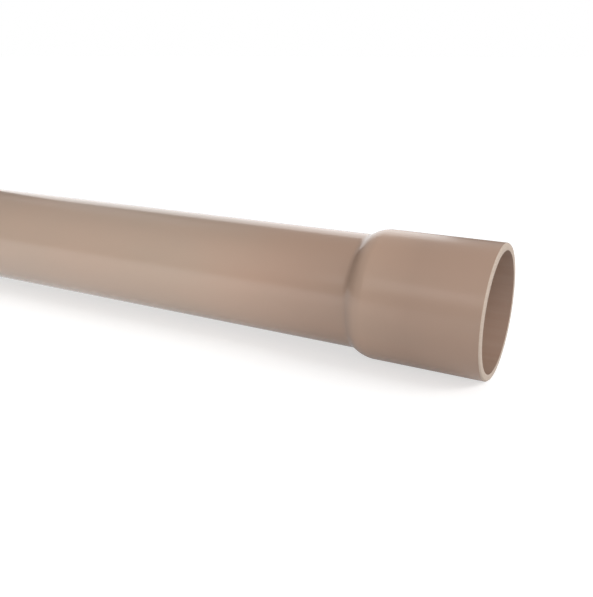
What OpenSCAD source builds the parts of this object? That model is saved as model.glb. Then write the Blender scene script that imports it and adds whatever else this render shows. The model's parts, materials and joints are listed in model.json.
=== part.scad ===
// Water pipe in rigid PVC, extruded in one piece with a solvent-weld socket
// formed on one end. It lies along X: the socket's mouth is at the origin and
// faces +X, and the spigot end is at -X.

/* [Pipe] */
// Outside diameter of the pipe, mm
pipe_od = 50; // [20:1:110]
// Thickness of the wall, in the pipe and in the socket, mm
wall = 3; // [1.8:0.1:6.5]
// Length over all, from the socket's mouth to the spigot end, mm
pipe_length = 3000; // [500:100:6000]

/* [Socket] */
// Depth of the straight bore that takes the next pipe, mm
socket_depth = 48; // [30:0.5:100]
// Gap all round between the bore and the pipe that goes into it, mm
socket_gap = 0.1; // [0.05:0.05:0.5]
// Height of the bevel on the outer edge of the mouth, mm
mouth_bevel = 0.5; // [0.1:0.1:1.5]
// Length of the bevel on the outer edge of the mouth, mm
mouth_bevel_length = 0.6; // [0.2:0.1:3]

/* [Shoulder] */
// Steepest slope of the wall between the pipe and the socket, degrees
shoulder_slope = 30; // [15:1:36]
// Radius of the hollow bend where the shoulder leaves the pipe, mm
neck_bend = 5; // [0.5:0.5:6]
// Radius, on the bore side, of the bend where the shoulder meets the socket, mm
shoulder_bend = 10; // [1:0.5:16]

/* [Spigot] */
// Length of the bevel that leads the spigot end into a socket, mm
spigot_bevel_length = 3; // [1:0.5:5]
// Angle of that bevel to the pipe's axis, degrees
spigot_bevel_angle = 15; // [5:1:18]

/* [Hidden] */

pipe_r = pipe_od / 2;
bore_r = pipe_r - wall;
socket_bore_r = pipe_r + socket_gap;
socket_r = socket_bore_r + wall;

// The shoulder is two bends with a straight cone between them. Both faces of
// the wall share the centres of the bends, so the wall stays equally thick.
// Where wide bends would take up the whole rise, the slope is less steep, so
// that a tenth of the rise is left for the cone.
bend_reach = neck_bend + wall + shoulder_bend;
rise = socket_r - pipe_r;
steepest = acos(max(0, 1 - 0.9 * rise / bend_reach));
slope = min(shoulder_slope, steepest);
cone_length = (rise - bend_reach * (1 - cos(slope))) / sin(slope);
shoulder_length = bend_reach * sin(slope) + cone_length * cos(slope);
socket_end = -socket_depth;
neck_end = socket_end - shoulder_length;

spigot_bevel = spigot_bevel_length * tan(spigot_bevel_angle);

// Straight steps in each bend of the section, and flats round the pipe
bend_steps = 8;
$fn = 144;

// The section is drawn as [distance from the axis, place along the axis].
// The bend at the socket turns about a centre inside the wall, and the bend at
// the neck about a centre outside it.
shoulder_centre = [socket_bore_r - shoulder_bend, socket_end];
neck_centre = [pipe_r + neck_bend, neck_end];

function arc(centre, radius, from, to) = [
    for (i = [0 : bend_steps])
        let (a = from + (to - from) * i / bend_steps)
            centre + radius * [cos(a), sin(a)]
];

// From the mouth to the spigot end
function outer_face() = concat(
    [
        [socket_r - mouth_bevel, 0],
        [socket_r, -mouth_bevel_length],
    ],
    arc(shoulder_centre, shoulder_bend + wall, 0, -slope),
    arc(neck_centre, neck_bend, 180 - slope, 180),
    [
        [pipe_r, spigot_bevel_length - pipe_length],
        [pipe_r - spigot_bevel, -pipe_length],
    ]
);

// From the spigot end back to the mouth
function inner_face() = concat(
    [[bore_r, -pipe_length]],
    arc(neck_centre, neck_bend + wall, 180, 180 - slope),
    arc(shoulder_centre, shoulder_bend, -slope, 0),
    [[socket_bore_r, 0]]
);

// The section is turned round the axis, and the pipe is laid along X
module pipe() {
    color([0.66, 0.56, 0.49])
        rotate([0, 90, 0])
            rotate_extrude()
                polygon(concat(outer_face(), inner_face()));
}

pipe();
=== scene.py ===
import json
import math

import bmesh
import bpy
from mathutils import Matrix, Vector


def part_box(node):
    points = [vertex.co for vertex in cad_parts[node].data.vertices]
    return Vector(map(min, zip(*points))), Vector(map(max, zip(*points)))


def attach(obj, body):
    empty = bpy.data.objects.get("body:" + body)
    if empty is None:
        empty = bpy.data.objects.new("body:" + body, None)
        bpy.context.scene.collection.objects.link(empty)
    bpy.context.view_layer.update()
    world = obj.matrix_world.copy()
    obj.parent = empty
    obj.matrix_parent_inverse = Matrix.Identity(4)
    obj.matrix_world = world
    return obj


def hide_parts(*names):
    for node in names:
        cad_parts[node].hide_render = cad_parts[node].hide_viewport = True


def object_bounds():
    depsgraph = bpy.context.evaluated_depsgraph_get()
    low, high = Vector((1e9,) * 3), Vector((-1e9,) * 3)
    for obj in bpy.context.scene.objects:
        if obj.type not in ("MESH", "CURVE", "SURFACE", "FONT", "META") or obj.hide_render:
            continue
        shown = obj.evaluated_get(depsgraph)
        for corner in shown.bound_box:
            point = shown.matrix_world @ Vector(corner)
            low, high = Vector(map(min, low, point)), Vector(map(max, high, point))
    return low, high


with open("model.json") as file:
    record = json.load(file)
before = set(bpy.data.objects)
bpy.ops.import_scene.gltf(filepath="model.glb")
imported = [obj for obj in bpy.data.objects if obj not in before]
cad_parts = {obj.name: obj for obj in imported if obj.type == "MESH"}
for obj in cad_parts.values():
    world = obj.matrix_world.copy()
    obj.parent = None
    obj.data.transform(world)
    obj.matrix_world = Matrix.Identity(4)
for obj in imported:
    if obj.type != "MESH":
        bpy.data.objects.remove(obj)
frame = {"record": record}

scene = bpy.context.scene
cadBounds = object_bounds()
print("frame loaded")

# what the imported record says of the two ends, in metres
mounts = {mount["name"]: mount for mount in frame["record"]["mounts"]}
socketRadius = mounts["socket"]["dims"]["r_mm"] / 1000
socketDepth = mounts["socket"]["dims"]["length_mm"] / 1000
barrelRadius = mounts["spigot"]["dims"]["r_mm"] / 1000
barrelLength = mounts["spigot"]["dims"]["length_mm"] / 1000
barrelEnd = mounts["spigot"]["pos_m"][0]
neckEnd = barrelEnd + barrelLength
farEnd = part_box("pipe")[0].x


def newMaterial(name):
    material = bpy.data.materials.new(name)
    material.use_nodes = True
    nodes = material.node_tree.nodes
    return material, nodes, material.node_tree.links, nodes["Principled BSDF"]


def stretched(nodes, links, scale, turn=(0, 0, 0)):
    # object coordinates, stretched and turned for one pattern
    place = nodes.new("ShaderNodeTexCoord")
    mapping = nodes.new("ShaderNodeMapping")
    mapping.inputs["Scale"].default_value = scale
    mapping.inputs["Rotation"].default_value = [math.radians(a) for a in turn]
    links.new(place.outputs["Object"], mapping.inputs["Vector"])
    return mapping.outputs["Vector"]


def alongWall(nodes, links, lengthScale, roundScale):
    # a pattern that follows the wall: one share for the length, one for the way round
    place = nodes.new("ShaderNodeTexCoord")
    apart = nodes.new("ShaderNodeSeparateXYZ")
    links.new(place.outputs["Object"], apart.inputs[0])
    across = nodes.new("ShaderNodeCombineXYZ")
    links.new(apart.outputs["Y"], across.inputs["Y"])
    links.new(apart.outputs["Z"], across.inputs["Z"])
    unit = nodes.new("ShaderNodeVectorMath")
    unit.operation = "NORMALIZE"
    links.new(across.outputs[0], unit.inputs[0])
    around = nodes.new("ShaderNodeVectorMath")
    around.operation = "SCALE"
    around.inputs["Scale"].default_value = roundScale
    links.new(unit.outputs[0], around.inputs[0])
    length = nodes.new("ShaderNodeCombineXYZ")
    links.new(mathStep(nodes, links, "MULTIPLY", apart.outputs["X"], lengthScale), length.inputs["X"])
    both = nodes.new("ShaderNodeVectorMath")
    links.new(around.outputs[0], both.inputs[0])
    links.new(length.outputs[0], both.inputs[1])
    return both.outputs[0]


def noise(nodes, links, vector, detail=3, roughness=0.5):
    texture = nodes.new("ShaderNodeTexNoise")
    texture.inputs["Scale"].default_value = 1
    texture.inputs["Detail"].default_value = detail
    texture.inputs["Roughness"].default_value = roughness
    links.new(vector, texture.inputs["Vector"])
    return texture.outputs["Fac"]


def remap(nodes, links, value, low, high, fromLow=0.3, fromHigh=0.7):
    # a noise seldom leaves 0.3 to 0.7, so that is the range unless another is given
    step = nodes.new("ShaderNodeMapRange")
    step.inputs["From Min"].default_value = fromLow
    step.inputs["From Max"].default_value = fromHigh
    step.inputs["To Min"].default_value = low
    step.inputs["To Max"].default_value = high
    links.new(value, step.inputs["Value"])
    return step.outputs["Result"]


def mathStep(nodes, links, operation, first, second):
    step = nodes.new("ShaderNodeMath")
    step.operation = operation
    for socket, value in zip(step.inputs, (first, second)):
        if isinstance(value, (int, float)):
            socket.default_value = value
        else:
            links.new(value, socket)
    return step.outputs[0]


def blendColours(nodes, links, share, first, second):
    mix = nodes.new("ShaderNodeMix")
    mix.data_type = "RGBA"
    for name, value in (("A", first), ("B", second)):
        socket = [s for s in mix.inputs if s.name == name and s.type == "RGBA"][0]
        if isinstance(value, tuple):
            socket.default_value = (*value, 1)
        else:
            links.new(value, socket)
    links.new(share, mix.inputs["Factor"])
    return [s for s in mix.outputs if s.type == "RGBA"][0]


def bump(nodes, links, height, distance):
    step = nodes.new("ShaderNodeBump")
    step.inputs["Distance"].default_value = distance
    links.new(height, step.inputs["Height"])
    return step.outputs["Normal"]


plasticIor = 1.53  # of all three materials

skin = {
    "warm": (0.402, 0.273, 0.2055),
    "cool": (0.358, 0.2695, 0.209),
    "coolShare": (0.1, 0.8),          # by the socket and along the rest of the pipe
    "coolReach": (-0.08, -0.145),     # along the pipe, between which that share grows
    "patchScale": (14, 34, 34),       # soft patches, longer along the pipe than round it
    "patches": 1.2,                   # how far they push that share, from end to end
    "streakScale": (1.5, 9),          # lines that the die leaves: along the pipe and round it
    "roughness": (0.135, 0.182),      # of those lines
    "dulled": 0.088,                  # how much rougher the socket is, where it was formed hot
    "rippleScale": (26, 1.5),         # slow waves left by the cooling bath
    "ripple": 0.00002,                # their depth
    "drawn": (1.19, 1.19, 1.18),      # how much paler the wall is painted over the shoulder's convex bend: painted light
    "drawnFrom": (-0.0558, -0.0514),  # along the pipe, over which that painted light begins
    "drawnTo": (-0.0505, -0.0290),    # and over which it ends
}


def makeSkin():
    material, nodes, links, shader = newMaterial("extruded_skin")
    patches = noise(nodes, links, stretched(nodes, links, skin["patchScale"]), detail=2)
    place = nodes.new("ShaderNodeSeparateXYZ")
    links.new(nodes.new("ShaderNodeTexCoord").outputs["Object"], place.inputs[0])
    cool = remap(nodes, links, place.outputs["X"], *skin["coolShare"], *skin["coolReach"])
    push = skin["patches"] / 2
    cool = mathStep(nodes, links, "ADD", cool, remap(nodes, links, patches, -push, push, 0, 1))
    colour = blendColours(nodes, links, cool, skin["warm"], skin["cool"])
    # painted light: the wall over the shoulder's convex bend is made paler
    begun = remap(nodes, links, place.outputs["X"], 0, 1, *skin["drawnFrom"])
    going = remap(nodes, links, place.outputs["X"], 1, 0, *skin["drawnTo"])
    paler = nodes.new("ShaderNodeVectorMath")
    paler.operation = "MULTIPLY"
    paler.inputs[1].default_value = skin["drawn"]
    links.new(colour, paler.inputs[0])
    share = mathStep(nodes, links, "MULTIPLY", begun, going)
    links.new(blendColours(nodes, links, share, colour, paler.outputs[0]), shader.inputs["Base Color"])
    streaks = noise(nodes, links, alongWall(nodes, links, *skin["streakScale"]), detail=1)
    streaks = remap(nodes, links, streaks, *skin["roughness"])
    dulled = mathStep(nodes, links, "MULTIPLY", begun, skin["dulled"])
    links.new(mathStep(nodes, links, "ADD", streaks, dulled), shader.inputs["Roughness"])
    ripple = noise(nodes, links, alongWall(nodes, links, *skin["rippleScale"]), detail=1)
    links.new(bump(nodes, links, ripple, skin["ripple"]), shader.inputs["Normal"])
    shader.inputs["IOR"].default_value = plasticIor
    return material


bore = {
    "light": (0.312, 0.212, 0.160),
    "dark": (0.288, 0.184, 0.136),
    "streakScale": (3, 8),    # along the pipe and round it
    "roughness": (0.32, 0.44),
    "drawLines": 0.000004,    # depth of the lines left by the die's core
}


def makeBore():
    material, nodes, links, shader = newMaterial("bore_wall")
    streaks = noise(nodes, links, alongWall(nodes, links, *bore["streakScale"]), detail=4)
    colour = blendColours(nodes, links, remap(nodes, links, streaks, 0, 1), bore["dark"], bore["light"])
    links.new(colour, shader.inputs["Base Color"])
    links.new(remap(nodes, links, streaks, *bore["roughness"]), shader.inputs["Roughness"])
    links.new(bump(nodes, links, streaks, bore["drawLines"]), shader.inputs["Normal"])
    shader.inputs["IOR"].default_value = plasticIor
    return material


cutFace = {
    "pale": (0.53, 0.437, 0.365),
    "dark": (0.44, 0.353, 0.286),
    "sawScale": (300, 350, 2400),  # the saw's lines, close together from top to bottom
    "sawTurn": (8, 0, 0),          # and a little askew, in degrees
    "grainScale": (900, 900, 900),
    "sawShare": 0.55,              # how much of the pattern is the saw's, and the rest grain
    "roughness": 0.75,
    "sawMarks": 0.00003,           # their depth
}


def makeCutFace():
    material, nodes, links, shader = newMaterial("sawn_end")
    sawLines = stretched(nodes, links, cutFace["sawScale"], cutFace["sawTurn"])
    saw = noise(nodes, links, sawLines, detail=3)
    grain = noise(nodes, links, stretched(nodes, links, cutFace["grainScale"]), detail=3)
    saw = mathStep(nodes, links, "MULTIPLY", saw, cutFace["sawShare"])
    grain = mathStep(nodes, links, "MULTIPLY", grain, 1 - cutFace["sawShare"])
    mixed = mathStep(nodes, links, "ADD", saw, grain)
    share = remap(nodes, links, mixed, 0, 1)
    colour = blendColours(nodes, links, share, cutFace["dark"], cutFace["pale"])
    links.new(colour, shader.inputs["Base Color"])
    shader.inputs["Roughness"].default_value = cutFace["roughness"]
    links.new(bump(nodes, links, mixed, cutFace["sawMarks"]), shader.inputs["Normal"])
    shader.inputs["IOR"].default_value = plasticIor
    return material


pipe = {
    "wall": 0.003,
    "shoulderSlope": math.radians(30),
    "neckBend": 0.005,      # hollow bend outside, where the shoulder leaves the barrel
    "shoulderBend": 0.010,  # bend on the bore side, where the shoulder meets the socket
    "mouthBevel": 0.0005,
    "mouthBevelLength": 0.0006,
    "spigotBevel": 0.003 * math.tan(math.radians(15)),
    "brokenEdge": 0.00012,  # how far a cut edge is rubbed off
    "bendSteps": 8,
    "edgeSteps": 2,
    "turnSteps": 192,
    "ringSpacing": 0.05,    # between the rings that divide the long barrel
    "sharpAngle": math.radians(28),
    "cutFacing": 0.9,       # how far along the pipe a face looks that belongs to a cut
}


def pipeCorners():
    # corners of the wall's section: place along the axis, distance from it, rounding
    wall = pipe["wall"]
    half = math.tan(pipe["shoulderSlope"] / 2)
    outerSocket = socketRadius + wall
    edge = pipe["brokenEdge"]
    outerNeck = pipe["neckBend"] * half
    innerNeck = (pipe["neckBend"] + wall) * half
    outerShoulder = (pipe["shoulderBend"] + wall) * half
    innerShoulder = pipe["shoulderBend"] * half
    outside = [
        (0, outerSocket - pipe["mouthBevel"], edge),
        (-pipe["mouthBevelLength"], outerSocket, edge),
        (-socketDepth - outerShoulder, outerSocket, outerShoulder),
        (neckEnd + outerNeck, barrelRadius, outerNeck),
        (barrelEnd, barrelRadius, edge),
        (farEnd, barrelRadius - pipe["spigotBevel"], edge),
    ]
    inside = [
        (farEnd, barrelRadius - wall, edge),
        (neckEnd + innerNeck, barrelRadius - wall, innerNeck),
        (-socketDepth - innerShoulder, socketRadius, innerShoulder),
        (0, socketRadius, edge),
    ]
    return outside + inside


def makePipe():
    # the wall's section as a closed wire, bent at its corners and spun about the axis
    bm = bmesh.new()
    corners = pipeCorners()
    section = [bm.verts.new((along, 0, out)) for along, out, _ in corners]
    for i, corner in enumerate(section):
        bm.edges.new((section[i - 1], corner))
    for corner, (_, _, rounding) in zip(section, corners):
        steps = pipe["bendSteps"] if rounding > pipe["brokenEdge"] else pipe["edgeSteps"]
        bmesh.ops.bevel(bm, geom=[corner], affect="VERTICES", offset=rounding, offset_type="OFFSET",
                        segments=steps, profile=0.5, material=-1)
    longSides = [edge for edge in bm.edges if edge.calc_length() > barrelLength / 2]
    cuts = int(barrelLength / pipe["ringSpacing"])
    bmesh.ops.subdivide_edges(bm, edges=longSides, cuts=cuts)
    bmesh.ops.spin(bm, geom=bm.verts[:] + bm.edges[:], cent=(0, 0, 0), axis=(1, 0, 0),
                   angle=math.tau, steps=pipe["turnSteps"], use_merge=True)
    bmesh.ops.recalc_face_normals(bm, faces=bm.faces)
    paintRegions(bm)
    mesh = bpy.data.meshes.new("water_pipe")
    bm.to_mesh(mesh)
    bm.free()
    for material in (makeSkin(), makeBore(), makeCutFace()):
        mesh.materials.append(material)
    mesh.set_sharp_from_angle(angle=pipe["sharpAngle"])
    piece = bpy.data.objects.new("water_pipe", mesh)
    scene.collection.objects.link(piece)
    return piece


def paintRegions(bm):
    # 0 the extruded outside, 1 the bore, 2 the sawn ends with their bevels
    for face in bm.faces:
        face.smooth = True
        middle = face.calc_center_median()
        out = Vector((0, middle.y, middle.z)).length
        atEnd = middle.x > -pipe["mouthBevelLength"] or middle.x < barrelEnd
        if out < middleRadius(middle.x) and abs(face.normal.x) < pipe["cutFacing"]:
            face.material_index = 1
        elif atEnd:
            face.material_index = 2


def middleRadius(along):
    # between the wall's two sides at one place along the pipe
    if along > -socketDepth:
        return socketRadius + pipe["wall"] / 3
    share = min(1, max(0, (along - neckEnd) / (-socketDepth - neckEnd)))
    return barrelRadius - pipe["wall"] / 2 + share * (socketRadius - barrelRadius + pipe["wall"])


waterPipe = makePipe()
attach(waterPipe, "root")
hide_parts("pipe")
print("pipe made:", len(waterPipe.data.polygons), "faces")


stage = {
    "floorColour": (0.55, 0.55, 0.55),
    "floorLift": (0.60, 0.88),      # how much whiter the floor is seen than it is lit, near and far
    "liftReach": (1, 6),            # metres between which it grows
    "shadeInGloss": (0.5, 1.15),    # share of that lift which gloss sees by the mouth and away from it; less by the mouth is painted shade in the floor's reflections
    "shadeReach": (0.06, 0.22),     # metres between which that share grows
    "floorSize": 60,
    "roomForLight": 0.46,           # strength of the world for what it lights
    "roomInGloss": 0.28,            # and for gloss high up; at the horizon gloss sees white
    "horizonFade": (0.02, 0.10),    # height of the direction over which the white fades
    "dimFront": (0.4, 1),           # how much of both is left in front of the mouth and beside it
    "frontReach": (-0.3, -0.5),     # directions towards -X, between which that grows
    "dimAbove": 0.238,              # how much darker gloss sees the ceiling
    "aboveHeight": (0.6, 0.78),     # heights of the direction over which that ceiling begins
    "aboveReach": (-0.5, -0.64),    # directions towards -X, between which it ends
    "aboveFront": (0.0, -0.5),      # directions towards -Y, between which it ends
    "dimSide": (-0.84, -0.72),      # directions towards -X, over which gloss sees a dim wall
    "sideFade": (-0.08, 0.02),      # heights of the direction over which that wall begins
    "behind": (-0.174, 0.985, 0),   # low behind the mouth, which gloss sees darker: a painted dark reflection along the top edge by the mouth
    "behindReach": (0.978, 0.996),  # cosines of the angle to it, over which the gap begins
    "dimBehind": 0.62,              # how much darker it is painted there
}


def makeFloor():
    material, nodes, links, shader = newMaterial("pale_floor")
    nodes.remove(shader)
    lit = nodes.new("ShaderNodeBsdfDiffuse")
    lit.inputs["Color"].default_value = (*stage["floorColour"], 1)
    place = nodes.new("ShaderNodeTexCoord").outputs["Object"]
    distance = nodes.new("ShaderNodeVectorMath")
    distance.operation = "LENGTH"
    links.new(place, distance.inputs[0])
    outward = nodes.new("ShaderNodeVectorMath")
    outward.operation = "NORMALIZE"
    links.new(place, outward.inputs[0])
    apart = nodes.new("ShaderNodeSeparateXYZ")
    links.new(outward.outputs[0], apart.inputs[0])
    lift = remap(nodes, links, distance.outputs["Value"], *stage["floorLift"], *stage["liftReach"])
    # gloss sees less of it close to the mouth and in front of it, and none low behind it: painted shade
    # in the floor's reflections
    clear = remap(nodes, links, distance.outputs["Value"], *stage["shadeInGloss"], *stage["shadeReach"])
    beside = remap(nodes, links, apart.outputs["X"], *stage["shadeInGloss"], *stage["frontReach"])
    clear = mathStep(nodes, links, "MINIMUM", clear, beside)
    darkBehind = behindMouth(nodes, links, outward.outputs[0])
    darkBehind = mathStep(nodes, links, "MULTIPLY", darkBehind, stage["shadeInGloss"][0])
    clear = mathStep(nodes, links, "SUBTRACT", clear, darkBehind)
    camera, passedOn = seenRays(nodes, links)
    seen = mathStep(nodes, links, "MULTIPLY", passedOn, clear)
    seen = mathStep(nodes, links, "MAXIMUM", camera, seen)
    glow = nodes.new("ShaderNodeEmission")
    links.new(mathStep(nodes, links, "MULTIPLY", seen, lift), glow.inputs["Strength"])
    both = nodes.new("ShaderNodeAddShader")
    links.new(lit.outputs[0], both.inputs[0])
    links.new(glow.outputs[0], both.inputs[1])
    links.new(both.outputs[0], nodes["Material Output"].inputs["Surface"])
    mesh = bpy.data.meshes.new("floor")
    bm = bmesh.new()
    middle = Matrix.Translation((cadBounds[0].x / 2, 0, cadBounds[0].z))
    bmesh.ops.create_grid(bm, x_segments=1, y_segments=1, size=stage["floorSize"] / 2, matrix=middle)
    bm.to_mesh(mesh)
    bm.free()
    mesh.materials.append(material)
    floor = bpy.data.objects.new("floor", mesh)
    scene.collection.objects.link(floor)


def behindMouth(nodes, links, direction):
    # 1 for directions that lead past the top of the mouth to what is behind it, 0 for the rest
    along = nodes.new("ShaderNodeVectorMath")
    along.operation = "DOT_PRODUCT"
    along.inputs[1].default_value = stage["behind"]
    links.new(direction, along.inputs[0])
    return remap(nodes, links, along.outputs["Value"], 0, 1, *stage["behindReach"])


def seenRays(nodes, links):
    # rays of the camera, and rays that gloss or glass sends on
    path = nodes.new("ShaderNodeLightPath")
    passedOn = mathStep(nodes, links, "MAXIMUM", path.outputs["Is Glossy Ray"],
                        path.outputs["Is Transmission Ray"])
    return path.outputs["Is Camera Ray"], passedOn


def makeWorld():
    world = bpy.data.worlds.new("studio")
    scene.world = world
    world.use_nodes = True
    nodes, links = world.node_tree.nodes, world.node_tree.links
    outward = nodes.new("ShaderNodeTexCoord").outputs["Generated"]
    direction = nodes.new("ShaderNodeSeparateXYZ")
    links.new(outward, direction.inputs[0])
    room = stage["roomForLight"]
    # how much more gloss sees than the room's light: up to white at the horizon, and less high up
    glossy = remap(nodes, links, direction.outputs["Z"], 1 - room, stage["roomInGloss"] - room,
                   *stage["horizonFade"])
    front = remap(nodes, links, direction.outputs["X"], *stage["dimFront"], *stage["frontReach"])
    glossy = mathStep(nodes, links, "MULTIPLY", glossy, front)
    darkBehind = mathStep(nodes, links, "MULTIPLY", behindMouth(nodes, links, outward), stage["dimBehind"])
    glossy = mathStep(nodes, links, "SUBTRACT", glossy, darkBehind)
    # a darker ceiling, which ends towards -X and towards -Y
    above = remap(nodes, links, direction.outputs["Z"], 0, stage["dimAbove"], *stage["aboveHeight"])
    across = remap(nodes, links, direction.outputs["X"], 1, 0, *stage["aboveReach"])
    back = remap(nodes, links, direction.outputs["Y"], 1, 0, *stage["aboveFront"])
    ceiling = mathStep(nodes, links, "MULTIPLY", across, back)
    ceiling = mathStep(nodes, links, "MULTIPLY", above, ceiling)
    glossy = mathStep(nodes, links, "SUBTRACT", glossy, ceiling)
    # a dim wall far towards -X
    high = remap(nodes, links, direction.outputs["Z"], 0, 1, *stage["sideFade"])
    side = remap(nodes, links, direction.outputs["X"], stage["roomInGloss"], 0, *stage["dimSide"])
    wall = mathStep(nodes, links, "MULTIPLY", high, side)
    glossy = mathStep(nodes, links, "SUBTRACT", glossy, wall)
    camera, passedOn = seenRays(nodes, links)
    strength = mathStep(nodes, links, "MULTIPLY", passedOn, glossy)
    strength = mathStep(nodes, links, "ADD", strength, room)
    background = nodes["Background"]
    background.inputs["Color"].default_value = (1, 1, 1, 1)
    links.new(mathStep(nodes, links, "MAXIMUM", strength, camera), background.inputs["Strength"])


makeFloor()
makeWorld()
print("stage set")


lamps = {
    # place, width and height, watts, what it aims at, spread of its beam, the rays that meet it
    "key": ((6.45, 0, 4.59), (3.7, 3.7), 403, (-0.1, 0, 0), 180, "diffuse"),
    "standingPanel": ((3.89, -6.92, 1.13), (3.7, 2.27), 228, (-0.1, 0, 0), 180, "diffuse"),
    "backFill": ((-2.2, 4.2, 3.0), (2.5, 2.5), 60, (-0.8, 0, 0), 180, "diffuse"),
    "sideStrip": ((-1.54, -0.35, 0.004), (2.9, 0.064), 0.315, (-1.54, 0, 0), 20, "diffuse"),
    "frontPanel": ((-0.5, -2.1, 1.38), (1.4, 0.7), 3.2, (-0.1, 0, 0), 180, "glossy"),
    "highPanel": ((-1.35, 0.65, 1.2), (0.5, 0.8), 0.32, (-0.19, 0, 0), 180, "glossy"),
    "backPanel": ((-1.065, 1.2, 0.49), (1.47, 0.82), 5.1, (-1.065, 0, 0.49), 180, "glossy"),
}


def addLamp(name, place, size, power, target, spread, rays):
    light = bpy.data.lights.new(name, "AREA")
    light.shape = "RECTANGLE"
    light.size, light.size_y = size
    light.energy = power
    light.spread = math.radians(spread)
    lamp = bpy.data.objects.new(name, light)
    lamp.location = place
    lamp.rotation_euler = (Vector(target) - Vector(place)).to_track_quat("-Z", "Y").to_euler()
    lamp.visible_camera = False
    lamp.visible_diffuse = rays == "diffuse"
    lamp.visible_glossy = rays == "glossy"
    scene.collection.objects.link(lamp)


for name, values in lamps.items():
    addLamp(name, *values)


viewpoint = {
    "place": (0.0549, -0.2737, 0.0975),
    "downTilt": 18.90,
    "turn": 28.18,
    "lens": 42.93,
}


def makeCamera():
    data = bpy.data.cameras.new("camera")
    data.lens = viewpoint["lens"]
    data.sensor_width = 36
    data.clip_start = 0.01
    data.clip_end = 100
    camera = bpy.data.objects.new("camera", data)
    camera.location = viewpoint["place"]
    tilt = math.radians(90 - viewpoint["downTilt"])
    camera.rotation_euler = (tilt, 0, math.radians(viewpoint["turn"]))
    scene.collection.objects.link(camera)
    scene.camera = camera


makeCamera()
scene.view_settings.view_transform = "Standard"
print("lights and camera set")
